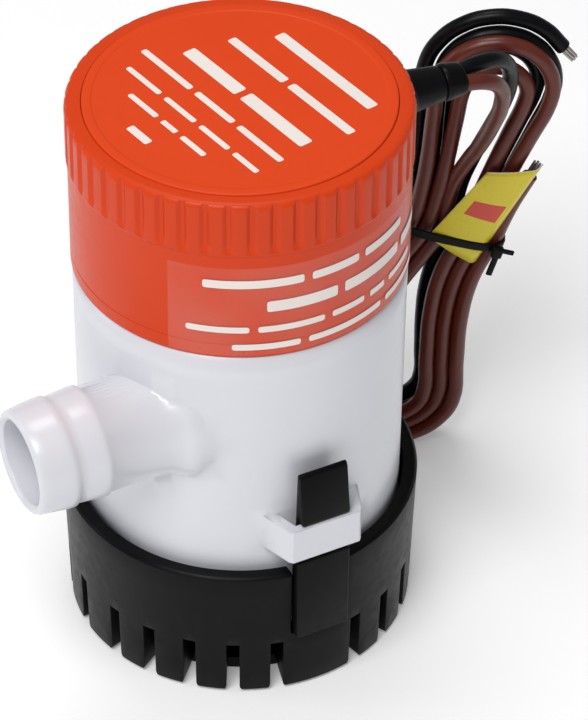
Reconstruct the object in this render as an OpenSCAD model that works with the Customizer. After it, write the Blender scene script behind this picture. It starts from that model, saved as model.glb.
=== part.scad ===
// Submersible bilge pump on a clip-in strainer, with two flying leads.
// Origin: on the pump's axis, on the surface that the strainer stands on. +Z up.

/* [Overall] */
// Height of the whole pump above the surface it stands on
pump_h = 111.6; // [108:0.2:115]
// Radius over the cap's ribs
cap_r = 30.2; // [29.8:0.1:30.6]
// Number of ribs round the cap
rib_count = 48; // [36:1:60]
// Depth of the grooves between the ribs
groove_depth = 0.5; // [0.3:0.1:0.8]

/* [Strainer] */
// Height of the strainer's rim
ring_h = 29; // [27:0.5:30]
// Outer radius of the strainer at its rim
ring_r = 32.7; // [32:0.1:33.5]
// Width of an inlet slot
slot_w = 2.4; // [2:0.1:3]
// Height of an inlet slot
slot_h = 12.1; // [10:0.1:12.5]
// Angle between neighbouring slots
slot_pitch = 14.4; // [14:0.1:15]
// Distance between the two screw holes in the floor
screw_spacing = 34; // [30:1:38]
// Radius of a screw hole
screw_hole_r = 2.2; // [1.8:0.1:2.4]

/* [Outlet] */
// Direction of the outlet, from -X towards -Y
outlet_turn = 27; // [20:1:34]
// Height of the outlet's axis
outlet_z = 58; // [56:0.5:59]
// Sideways offset of the outlet's axis from the pump's axis
outlet_offset = 13; // [12:0.5:14]
// Distance from the pump's middle plane to the outlet's mouth
outlet_len = 49.5; // [46:0.5:54]
// Radius of a hose barb's crest
barb_r = 10.15; // [9.9:0.05:10.4]
// Radius of the outlet's bore
outlet_bore_r = 7.8; // [7:0.1:8]

/* [Clips] */
// Direction of the first clip, from -Y towards +X
clip_turn = 26.5; // [20:0.5:32]
// Half the width of a clip's arm
clip_half = 5.2; // [4.5:0.1:5.4]

/* [Leads] */
// Diameter of a lead
lead_d = 3; // [2.8:0.1:3.2]
// Direction of the cable boot, from +X towards +Y
boot_turn = 24; // [20:1:28]
// Height of the cable boot
boot_z = 103; // [102:0.5:104]

/* [Hidden] */
$fn = 96;
eps = 0.02;

// Strainer
ring_low_r = 31.9;          // outer radius at the floor
ring_bore_r = 30.0;         // bore above the ledge
ledge_z = 14;               // height of the ledge that carries the pump
ledge_r = 26.5;             // bore below the ledge
floor_t = 2.5;
tooth_round = 1.6;
slots_per_clip = 5;
clip_gap = 0.4;

// Clip arm, outwards distance and height
arm_back = 31.2;
arm_front = 33.6;
arm_root_z = 14;
stem_front = 32.7;
bracket_low = 34;
bracket_high = 41.3;
bracket_in = 32.9;
bracket_out = 34.5;
tongue_half = clip_half - 0.5;
tongue_top = 52.5;

// Housing
body_low_r = 29.3;
body_high_r = 29.7;
body_top = 78.3;
body_bore_r = 27;
chamber_low = 49.5;
chamber_high = 66;
chamber_r = 22;
bulkhead_top = 69;
spigot_r = 27.6;
spigot_top = 84;
cover_low = 46;

// Motor
can_r = 13.85;
can_wall = 0.9;
can_low = 69.3;
can_high = 103;
shaft_r = 1.15;
shaft_low = 49.2;
shaft_high = 106.4;
run_gap = 0.05;
magnet_in = 10.3;
core_low = 76;
core_high = 94;
comm_r = 3.4;
comm_low = 96.2;
comm_high = 101;
sleeve_r = 15.2;

// Motor cover
band_r = 29.9;
band_low = 78.5;
rib_low = 100.5;
cover_bore_r = 27.75;
shoulder_r = 2.8;
lid_r = 27.2;
lid_low = 109.2;

// Cable boot, distances from the pump's axis
boot_start = 25;
boot_flange = 24.2;
boot_end = 38.4;
sleeve_end = 42.5;
boot_big_r = 4.4;
boot_small_r = 3.2;
shrink_r = 3.4;

// Hank, seen from the front: it leans to the right
hank_mid = [38, 0, 48.9];
hank_half = 35.5;
hank_lean = atan(19 / 68.4);
hank_tie = 4;
hank_low_r = 14.7;
hank_high_r = 15.3;
hank_waist_r = 10.4;
brown_y = 37.4;
black_y = 40.5;

// Routes of the two leads, from the boot's sleeve to the hank
brown_route = [[39.45, 15.7, 103], [43.2, 17.2, 102.2], [46, 20, 98.8], [46.6, 23.2, 92.5],
    [45.6, 26.9, 85.5], [44, 31, 78], [41.8, 34.8, 71], [39.6, 37.1, 64], [38.7, 37.4, 58],
    [38.3, 37.4, 53]];
black_route = [[38.2, 18.6, 103], [42, 21.5, 103], [45.8, 25, 101.2], [48, 28.5, 97.2],
    [48.6, 31.5, 91], [47.5, 34, 84], [45.5, 36.2, 77], [43.3, 38.2, 70], [41.2, 39.8, 62],
    [39.8, 40.5, 52.6]];

// ---- helpers ----

// Places children in a clip's frame: X outwards, Y sideways
module at_clip(side) {
    rotate([0, 0, clip_turn - 90 + 180 * side]) children();
}

// Places children along the outlet: +Z runs from the pump's middle plane to the mouth
module at_outlet() {
    rotate([0, 0, outlet_turn + 180])
        translate([0, outlet_offset, outlet_z])
            rotate([0, 90, 0]) children();
}

// Places children along the cable boot: +Z runs away from the pump
module at_boot() {
    translate([0, 0, boot_z]) rotate([0, 0, boot_turn]) rotate([0, 90, 0]) children();
}

// Places children in the hank's frame: X sideways, Y along the hank, Z towards the back
module at_hank(depth) {
    translate([hank_mid[0], depth, hank_mid[2]])
        rotate([90, 0, 0]) rotate([0, 0, -hank_lean]) mirror([0, 0, 1]) children();
}

// A ring with a plain rectangular section
module ring(r_in, r_out, z_low, z_high) {
    translate([0, 0, z_low]) difference() {
        cylinder(r = r_out, h = z_high - z_low);
        translate([0, 0, -1]) cylinder(r = r_in, h = z_high - z_low + 2);
    }
}

// An O-ring lying flat
module oring(r, section, z) {
    translate([0, 0, z]) rotate_extrude() translate([r, 0]) circle(r = section, $fn = 32);
}

// ---- sweep of a round tube along a route ----

function unit(v) = v / norm(v);
function tangent(path, i) = unit(path[min(i + 1, len(path) - 1)] - path[max(i - 1, 0)]);
function side_of(t) = unit(cross(t, [0, 0.2, 1]));
function tube_ring(path, i, r, sides) =
    let (t = tangent(path, i), u = side_of(t), v = cross(t, u))
    [for (k = [0 : sides - 1]) path[i] + r * (cos(360 * k / sides) * u + sin(360 * k / sides) * v)];

module tube(path, r, sides = 8) {
    n = len(path);
    points = [for (i = [0 : n - 1]) each tube_ring(path, i, r, sides)];
    walls = [for (i = [0 : n - 2]) for (k = [0 : sides - 1])
        let (a = i * sides + k, b = i * sides + (k + 1) % sides)
            each [[a, a + sides, b + sides], [a, b + sides, b]]];
    start = [for (k = [0 : sides - 1]) k];
    end = [for (k = [sides - 1 : -1 : 0]) (n - 1) * sides + k];
    polyhedron(points, concat(walls, [start], [end]));
}

// ---- strainer and clips ----

// Outline of an inlet slot, flared at the bottom so that the teeth have round corners
module slot_outline() {
    translate([-slot_w / 2, -1]) square([slot_w, slot_h + 1]);
    difference() {
        translate([-slot_w / 2 - tooth_round, -1])
            square([slot_w + 2 * tooth_round, tooth_round + 1]);
        for (s = [-1, 1])
            translate([s * (slot_w / 2 + tooth_round), tooth_round]) circle(r = tooth_round, $fn = 32);
    }
}

module inlet_slot(angle) {
    rotate([0, 0, angle]) translate([ledge_r - 1, 0, 0])
        rotate([90, 0, 90]) linear_extrude(height = 8) slot_outline();
}

module strainer_base() color("#1d1e20") difference() {
    rotate_extrude() polygon([[0, 0], [ring_low_r - 0.6, 0], [ring_low_r, 0.6],
        [ring_r, ring_h - 0.5], [ring_r - 0.5, ring_h], [ring_bore_r + 0.3, ring_h],
        [ring_bore_r, ring_h - 0.3], [ring_bore_r, ledge_z], [ledge_r, ledge_z],
        [ledge_r, floor_t], [0, floor_t]]);
    for (side = [0, 1]) {
        at_clip(side) {
            for (k = [-slots_per_clip : slots_per_clip]) if (k != 0) inlet_slot(slot_pitch * k);
            inlet_slot(90);
            translate([ring_bore_r - 3, -clip_half - clip_gap, arm_root_z - 0.1])
                cube([8, 2 * (clip_half + clip_gap), ring_h]);
        }
        translate([(side - 0.5) * screw_spacing, 0, -1]) cylinder(r = screw_hole_r, h = 6);
    }
}

// The arm below the bracket, and the hooked tongue above it
module clip_arm(side) color("#1b1c1e") at_clip(side) {
    rotate([90, 0, 0]) {
        translate([0, 0, -clip_half]) linear_extrude(height = 2 * clip_half)
            polygon([[arm_back, arm_root_z], [arm_front, arm_root_z], [arm_front, 32.2],
                [stem_front, 33.2], [arm_back, 33.2]]);
        translate([0, 0, -tongue_half]) linear_extrude(height = 2 * tongue_half)
            polygon([[arm_back, 33], [stem_front, 33], [stem_front, bracket_high + 0.3],
                [34.2, bracket_high + 0.3], [34.3, bracket_high + 1.1], [33.1, tongue_top - 0.7],
                [32.7, tongue_top], [32.1, tongue_top], [31.8, tongue_top - 0.5], [arm_back, 38]]);
    }
}

module clip_front() clip_arm(0);
module clip_rear() clip_arm(1);

// ---- housing ----

// The loop on the housing that a clip's tongue hooks over
module bracket(side) at_clip(side) translate([0, 0, bracket_low])
    linear_extrude(height = bracket_high - bracket_low) difference() {
        polygon([[27.5, -9.6], [bracket_out - 0.6, -7.2], [bracket_out, -6.6],
            [bracket_out, 6.6], [bracket_out - 0.6, 7.2], [27.5, 9.6]]);
        polygon([[26, -7.8], [bracket_in, -5.4], [bracket_in, 5.4], [26, 7.8]]);
    }

// Outside of the outlet: lip, two hose barbs, plain tube and a flare that blends into the body
module outlet_outside() at_outlet() rotate_extrude() {
    mouth = outlet_len;
    root = barb_r - 0.45;
    flare = 8;
    polygon(concat([[0, 4], [root + 2.9, 4]],
        [for (a = [40 : -8 : 0]) [root + flare * (1 - cos(a)), mouth - 23.5 - flare * sin(a) + 0.01]],
        [[root, mouth - 13.6], [barb_r, mouth - 13.3], [barb_r, mouth - 12.3], [root, mouth - 7.4],
         [barb_r, mouth - 7.1], [barb_r, mouth - 5.9], [root - 0.1, mouth - 0.9],
         [root - 0.4, mouth - 0.3], [root - 0.9, mouth], [0, mouth]]));
}

module outlet_passage() at_outlet() {
    cylinder(r = outlet_bore_r, h = outlet_len + 1);
    translate([0, 0, outlet_len - 0.6]) cylinder(r1 = outlet_bore_r, r2 = outlet_bore_r + 0.7, h = 0.7);
}

// Bosses that the inlet cover's screws go into
module cover_screw_places() for (a = [55, 175, 295]) rotate([0, 0, a])
    translate([24, 0, 0]) children();

module pump_housing() color("#e6e7ea") difference() {
    union() {
        rotate_extrude() polygon([[ledge_r + 0.2, ledge_z + 0.05], [body_low_r, ledge_z + 0.05],
            [body_high_r, body_top], [spigot_r, body_top], [spigot_r, spigot_top - 0.6],
            [spigot_r - 0.6, spigot_top], [25.4, spigot_top], [25.4, bulkhead_top],
            [chamber_r, bulkhead_top], [chamber_r, chamber_low],
            [body_bore_r - 0.3, chamber_low], [body_bore_r, cover_low - 1]]);
        translate([0, 0, chamber_high]) cylinder(r = chamber_r + 1, h = bulkhead_top - chamber_high);
        ring(sleeve_r + 0.05, sleeve_r + 2, bulkhead_top - eps, 82);
        for (a = [0 : 60 : 300]) rotate([0, 0, a]) translate([sleeve_r + 1, -0.8, bulkhead_top - eps])
            cube([10, 1.6, 10]);
        difference() {
            outlet_outside();
            translate([0, 0, 30]) cylinder(r = body_bore_r + 0.5, h = chamber_low - 30);
            translate([0, 0, chamber_low - 1]) cylinder(r = chamber_r + 1, h = 30);
            translate([0, 0, bulkhead_top]) cylinder(r = 26, h = 20);
        }
        for (side = [0, 1]) difference() {
            bracket(side);
            translate([0, 0, bracket_low - 1]) cylinder(r = 28.5, h = 10);
        }
    }
    outlet_passage();
    translate([0, 0, bulkhead_top - 4]) cylinder(r = 3.0, h = 6);
    translate([0, 0, chamber_high - 1]) cylinder(r = 5.6, h = 2);
    cover_screw_places() translate([0, 0, cover_low]) cylinder(r = 1.1, h = 12);
}

module inlet_cover() color("#dfe1e4") difference() {
    union() {
        ring(9, body_bore_r - 0.4, cover_low + 0.2, chamber_low - 0.9);
        ring(9, 25, chamber_low - 0.95, chamber_low - 0.05);
        ring(9, 11, 26, cover_low + 0.3);
        for (a = [0 : 45 : 315]) rotate([0, 0, a]) translate([10.8, -0.7, 40]) cube([10.5, 1.4, 6.3]);
    }
    cover_screw_places() translate([0, 0, cover_low - 8]) cylinder(r = 1.5, h = 20);
}

module inlet_oring() color("#141414") oring(25.9, 0.42, chamber_low - 0.46);

module inlet_screws() color("#b9bcc0") cover_screw_places() {
    translate([0, 0, cover_low - 1.7]) difference() {
        cylinder(r = 2.4, h = 1.85);
        translate([-0.35, -1.6, -0.1]) cube([0.7, 3.2, 0.9]);
        translate([-1.6, -0.35, -0.1]) cube([3.2, 0.7, 0.9]);
    }
    translate([0, 0, cover_low - 0.2]) cylinder(r = 1.05, h = 10);
}

// ---- rotor ----

module impeller() color("#2a2b2e") difference() {
    union() {
        translate([0, 0, 61]) cylinder(r = 18, h = 1.6);
        translate([0, 0, 50.6]) cylinder(r = 3.6, h = 13.4);
        for (a = [0 : 60 : 300]) rotate([0, 0, a]) intersection() {
            translate([2, 9.2, 51]) ring(9.4, 11, 0, 10.2);
            translate([0, -4, 50]) cube([17.6, 24, 12]);
            translate([0, 0, 50]) cylinder(r = 17.6, h = 12);
        }
    }
    translate([0, 0, 50]) cylinder(r = shaft_r, h = 15);
    for (a = [0 : 120 : 240]) rotate([0, 0, a + 20]) translate([9, 0, 60]) cylinder(r = 1, h = 4);
}

module impeller_clip() color("#c9cbce") difference() {
    ring(shaft_r, 2.6, 49.7, 50.55);
    translate([0, -0.6, 49]) cube([4, 1.2, 3]);
}

module shaft() color("#c4c7cb") union() {
    translate([0, 0, shaft_low]) cylinder(r = shaft_r, h = shaft_high - shaft_low - 0.3);
    translate([0, 0, shaft_high - 0.3]) cylinder(r1 = shaft_r, r2 = shaft_r - 0.3, h = 0.3);
}

module armature_core() color("#8d8f92") difference() {
    union() {
        ring(shaft_r, 3.2, core_low, core_high);
        for (a = [0 : 120 : 240]) rotate([0, 0, a]) {
            translate([2.6, -1.8, core_low]) cube([6, 3.6, core_high - core_low]);
            intersection() {
                ring(8.2, magnet_in - 0.45, core_low, core_high);
                translate([0, -6.6, core_low - 1]) cube([12, 13.2, core_high]);
            }
        }
    }
}

module windings() color("#a8562c") for (a = [0 : 120 : 240]) rotate([0, 0, a])
    translate([4.35, 0, 0]) difference() {
        translate([0, -4.1, core_low - 2]) cube([2.6, 8.2, core_high - core_low + 4]);
        translate([-1, -1.85, core_low - 0.05]) cube([6, 3.7, core_high - core_low + 0.1]);
    }

module commutator() color("#b87333") difference() {
    ring(shaft_r, comm_r, comm_low, comm_high);
    for (a = [0 : 120 : 240]) rotate([0, 0, a + 60]) translate([2.4, -0.2, comm_low + 0.6])
        cube([2, 0.4, 6]);
}

// ---- fixed motor parts ----

module shaft_seal() color("#101112") difference() {
    ring(shaft_r + run_gap, 5.55, chamber_high + 0.02, chamber_high + 0.96);
    translate([0, 0, chamber_high - 1]) cylinder(r = 1.9, h = 1.4);
}

module seal_retainer() color("#c2a14a") ring(shaft_r + 0.6, 2.95, chamber_high + 1.02, bulkhead_top - 0.1);

module motor_sleeve() color("#222325") ring(can_r + 0.02, sleeve_r, can_low, 84);

module motor_can() color("#b4b8bc") difference() {
    union() {
        difference() {
            translate([0, 0, can_low]) cylinder(r = can_r, h = can_high - can_low);
            translate([0, 0, can_low + can_wall]) cylinder(r = can_r - can_wall, h = 60);
        }
        translate([0, 0, can_low + can_wall - 0.1]) cylinder(r = 3.6, h = 2.2);
    }
    translate([0, 0, can_low - 1]) cylinder(r = 2.5, h = 6);
    for (a = [45 : 90 : 315]) rotate([0, 0, a]) translate([8, 0, can_low - 1]) cylinder(r = 1.5, h = 3);
}

module magnets() color("#4a4b4e") for (a = [0, 180]) rotate([0, 0, a - 60])
    rotate_extrude(angle = 120) translate([magnet_in, 73]) square([can_r - can_wall - 0.02 - magnet_in, 25]);

module lower_bush() color("#b08d57") ring(shaft_r + run_gap, 2.5, can_low + 0.1, can_low + 3);

module end_bell() color("#26272a") difference() {
    union() {
        translate([0, 0, 101.8]) cylinder(r = can_r - can_wall - 0.02, h = 2.4);
        translate([0, 0, 103]) cylinder(r = can_r - 0.1, h = 1.2);
        translate([0, 0, 103]) cylinder(r = 4, h = 2.6);
    }
    translate([0, 0, 100]) cylinder(r = 2.5, h = 7);
    for (s = [-1, 1]) translate([s * 9, 0, 102]) cube([0.7, 2.6, 12], center = true);
}

module upper_bush() color("#b08d57") ring(shaft_r + run_gap, 2.5, 102.2, 105.4);

module brushes() color("#3a3a3c") for (a = [0, 180]) rotate([0, 0, a])
    translate([0, 0, 98.6]) difference() {
        translate([comm_r - 0.2, -1.2, -1.5]) cube([2.6, 2.4, 3]);
        translate([0, 0, -3]) cylinder(r = comm_r + run_gap, h = 6);
    }

module brush_arms() color("#c98a4b") for (a = [0, 180]) rotate([0, 0, a]) {
    translate([comm_r + 2.4, -1.2, 97.4]) cube([0.3, 2.4, 4.4]);
    translate([comm_r + 2.4, -1.2, 101.5]) cube([5, 2.4, 0.3]);
}

module motor_terminals() color("#c7b26a") for (s = [-1, 1]) difference() {
    translate([s * 9 - 0.3, -1.25, 101.9]) cube([0.6, 2.5, 6]);
    translate([s * 9, 0, 106.6]) rotate([0, 90, 0]) cylinder(r = 0.6, h = 3, center = true);
}

module suppressor() color("#c47a2c") {
    translate([0, -7.5, 106.9]) rotate([90, 0, 0]) cylinder(r = 2.1, h = 1.8, center = true);
    for (s = [-1, 1]) translate([s * 1.2 - 0.2, -7.7, 104.25]) cube([0.4, 0.4, 1.2]);
}

module housing_oring() color("#141414") oring(26.3, 1.05, spigot_top + 1.05);

// ---- cover ----

module motor_cover() color("#df4b1d") difference() {
    rotate_extrude() {
        polygon(concat([[cover_bore_r, band_low], [band_r - 0.3, band_low], [band_r, band_low + 0.3],
            [band_r, 81.2], [band_r - 0.12, 81.35], [band_r, 81.5],
            [band_r, rib_low], [cap_r - 0.1, rib_low + 0.15], [cap_r, rib_low + 0.5]],
            [for (a = [0 : 10 : 90]) [cap_r - shoulder_r * (1 - cos(a)),
                pump_h - 0.25 - shoulder_r * (1 - sin(a))]],
            [[lid_r + 0.06, pump_h - 0.25], [lid_r + 0.06, lid_low], [25.4, lid_low], [25.4, 106],
             [27.2, 104], [27.2, 92], [25, 88], [25, spigot_top + 2.1],
             [cover_bore_r, spigot_top + 2.1]]));
    }
    for (i = [0 : rib_count - 1]) rotate([0, 0, 360 * (i + 0.5) / rib_count])
        translate([cap_r + 0.9 - groove_depth, 0, rib_low + 1.1]) cylinder(r = 0.9, h = 14, $fn = 24);
    at_boot() translate([0, 0, 20]) cylinder(r = boot_small_r + 0.02, h = 20);
}

module top_lid() color("#e2521f") union() {
    translate([0, 0, lid_low + 0.02]) cylinder(r = lid_r, h = pump_h - lid_low - 0.27);
    translate([0, 0, pump_h - 0.26]) cylinder(r1 = lid_r, r2 = lid_r - 0.25, h = 0.26);
    ring(22, 25.2, 107.8, lid_low + 0.1);
}

module cable_boot() color("#17181a") at_boot() difference() {
    union() {
        translate([0, 0, boot_start]) cylinder(r = boot_small_r, h = 7);
        translate([0, 0, boot_flange]) cylinder(r = boot_small_r + 1.2, h = 1);
        translate([0, 0, 30.4]) cylinder(r = boot_big_r, h = 1.2);
        translate([0, 0, 31.5]) cylinder(r1 = boot_big_r, r2 = boot_small_r, h = boot_end - 31.5);
    }
    translate([0, 0, 20]) cylinder(r = 2.2, h = 30);
}

module heat_shrink() color("#1c1d1f") at_boot() union() {
    translate([0, 0, boot_end + 0.02]) cylinder(r = shrink_r, h = sleeve_end - boot_end - 0.42);
    translate([0, 0, sleeve_end - 0.4]) cylinder(r1 = shrink_r, r2 = shrink_r - 0.25, h = 0.38);
}

module inner_leads() color("#5a2c22") {
    for (s = [-1, 1]) at_boot() translate([0, s * 1.05, 15.5]) cylinder(r = 1, h = boot_end - 15.5);
    tube([[-9, 1.9, 106], [-5, 6.4, 107], [4, 9.4, 107], [10.6, 9.4, 105.8], [13.7, 7.3, 103.2]], 0.6);
    tube([[9, 1.9, 106], [11, 3.6, 106], [13.4, 4.6, 105], [14.6, 5.3, 103.2]], 0.6);
}

module label_film() color("#f0e4e0", 0.4) rotate([0, 0, 246])
    rotate_extrude(angle = 200) translate([band_r + 0.02, 79]) square([0.16, 19]);

// ---- leads and hank ----

module lead_black() color("#141518") tube(black_route, lead_d / 2);
module lead_brown() color("#4a2019") tube(brown_route, lead_d / 2);

// Outline of a hank: a round end, a waist at the tie and a round end
module hank_outline() {
    for (end = [[0, -hank_half + 0.3, hank_low_r], [-1.2, hank_half + 1.7, hank_high_r]]) hull() {
        translate([end[0], end[1]]) circle(r = end[2], $fn = 32);
        translate([0, hank_tie]) circle(r = hank_waist_r, $fn = 32);
    }
}

module hank(depth) at_hank(depth - lead_d / 2) linear_extrude(height = lead_d) hank_outline();
module hank_black() color("#16171a") hank(black_y);
module hank_brown() color("#532720") hank(brown_y);

// A band round both hanks, from low to high along them
module hank_band(half_w, low, high, wall, front, back) {
    at_hank(front) translate([0, low, 0]) rotate([-90, 0, 0]) linear_extrude(height = high - low)
        difference() {
            translate([-half_w - wall, -(back - front)]) square([2 * (half_w + wall), back - front]);
            translate([-half_w, -(back - front) + wall]) square([2 * half_w, back - front - 2 * wall]);
        }
}

module tie() color("#1a1a1c") {
    hank_band(11, hank_tie - 1, hank_tie + 0.9, 0.7, 34.6, 43.3);
    at_hank(34.7) translate([9, hank_tie - 5.6, 0]) cube([1.4, 6, 0.6]);
}

module warning_tag() color("#d8c81c")
    at_hank(35.4) linear_extrude(height = 0.45)
        polygon([[-3.6, 3.5], [6.8, -0.6], [11.6, 24], [2.1, 21]]);

strainer_base();
clip_front();
clip_rear();
pump_housing();
inlet_cover();
inlet_oring();
inlet_screws();
impeller();
impeller_clip();
shaft();
shaft_seal();
seal_retainer();
motor_sleeve();
motor_can();
magnets();
lower_bush();
armature_core();
windings();
commutator();
end_bell();
upper_bush();
brushes();
brush_arms();
motor_terminals();
suppressor();
housing_oring();
motor_cover();
top_lid();
cable_boot();
heat_shrink();
inner_leads();
label_film();
lead_black();
lead_brown();
hank_black();
hank_brown();
tie();
warning_tag();
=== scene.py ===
import math

import bmesh
import bpy
from mathutils import Matrix, Vector


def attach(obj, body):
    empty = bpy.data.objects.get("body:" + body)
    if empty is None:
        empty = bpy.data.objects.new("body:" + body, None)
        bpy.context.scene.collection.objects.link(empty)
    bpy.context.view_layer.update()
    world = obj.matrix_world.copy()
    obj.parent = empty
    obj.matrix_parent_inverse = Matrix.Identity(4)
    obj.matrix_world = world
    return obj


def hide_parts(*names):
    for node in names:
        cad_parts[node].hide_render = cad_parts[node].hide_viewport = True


bl_info = {
    "name": "Bilge pump finisher",
    "version": (1, 0, 0),
    "blender": (4, 5, 0),
    "location": "3D View > Sidebar > Bilge pump",
    "description": "Dresses the packed model of a submersible bilge pump",
    "category": "Object",
}

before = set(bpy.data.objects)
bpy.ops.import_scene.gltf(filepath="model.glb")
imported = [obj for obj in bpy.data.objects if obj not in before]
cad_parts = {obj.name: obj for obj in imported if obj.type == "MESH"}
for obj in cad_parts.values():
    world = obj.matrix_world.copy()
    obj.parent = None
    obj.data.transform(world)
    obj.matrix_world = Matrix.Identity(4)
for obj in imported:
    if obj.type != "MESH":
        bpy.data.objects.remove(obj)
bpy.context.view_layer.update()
MM = 0.001
TURN = 2 * math.pi


# ---------------------------------------------------------------- finishes

def linear(colour):
    """Linear RGBA from an sRGB hex string."""
    parts = [int(colour[i:i + 2], 16) / 255 for i in (1, 3, 5)]
    return (*[c / 12.92 if c <= 0.04045 else ((c + 0.055) / 1.055) ** 2.4 for c in parts], 1)


def add(tree, kind, links=None, **settings):
    """Adds a shader node. Links maps a socket to a value or to another node's output."""
    made = tree.nodes.new(kind)
    for name, value in settings.items():
        setattr(made, name, value)
    for socket, value in (links or {}).items():
        if isinstance(value, bpy.types.NodeSocket):
            tree.links.new(value, made.inputs[socket])
        else:
            made.inputs[socket].default_value = value
    return made


def noise(tree, place, size, detail, roughness=0.5):
    """A noise pattern whose patches are about size across, in millimetres."""
    return add(tree, "ShaderNodeTexNoise", {"Vector": place, "Scale": 1 / (size * MM),
                                            "Detail": detail, "Roughness": roughness})


def mixed(tree, factor, first, second):
    """The output that mixes two colours, each a linear value or another node's output."""
    made = add(tree, "ShaderNodeMix", {"Factor": factor}, data_type="RGBA")
    for socket, value in zip([s for s in made.inputs if s.type == "RGBA"], (first, second)):
        if isinstance(value, bpy.types.NodeSocket):
            tree.links.new(value, socket)
        else:
            socket.default_value = value
    return [s for s in made.outputs if s.type == "RGBA"][0]


def blank(name):
    """A new material with no nodes but the place to read patterns from."""
    made = bpy.data.materials.new(name)
    made.use_nodes = True
    tree = made.node_tree
    tree.nodes.clear()
    place = add(tree, "ShaderNodeTexCoord").outputs["Object"]
    return made, tree, place


def close(tree, shader):
    add(tree, "ShaderNodeOutputMaterial", {"Surface": shader.outputs[0]})


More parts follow.
